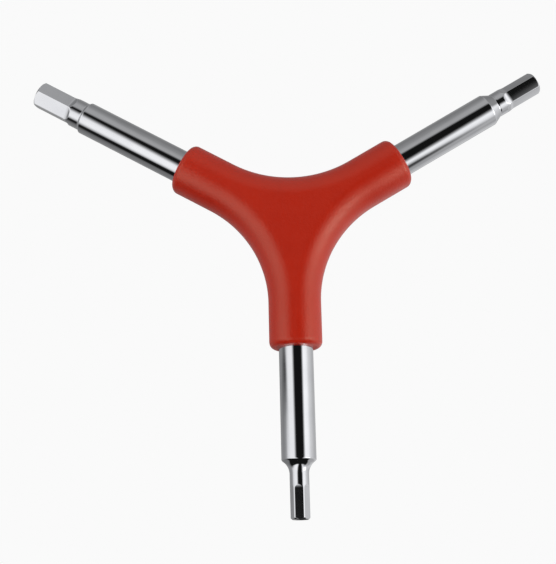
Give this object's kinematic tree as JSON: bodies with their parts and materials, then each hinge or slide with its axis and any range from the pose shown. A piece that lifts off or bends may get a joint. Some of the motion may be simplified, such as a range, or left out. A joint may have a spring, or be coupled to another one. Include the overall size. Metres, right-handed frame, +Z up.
{
  "type": "y wrench",
  "caption": "Three-arm Y hex wrench: moulded red handle over a steel hub, with chromed round rods that end in turned necks and hexagonal tips of different sizes.",
  "frame": {"origin": "middle of the handle's underside, straight below the point where the axes of the arms cross", "axes": "+Z up out of the plane of the tool, -Y along the 4 mm arm, +X towards the 5 mm arm's side"},
  "size_m": [0.1249, 0.108, 0.0124],
  "materials": {
    "moulded_red": "fine moulded grain",
    "hub_steel": "sawn and drilled",
    "chrome_plate_6mm": "polished plate",
    "chrome_plate_5mm": "polished plate",
    "chrome_plate_4mm": "polished plate"
  },
  "bodies": {
    "root": {"handle": "moulded_red", "hub": "hub_steel", "arm_6mm": "chrome_plate_6mm", "arm_5mm": "chrome_plate_5mm", "arm_4mm": "chrome_plate_4mm"}
  },
  "joints": []
}
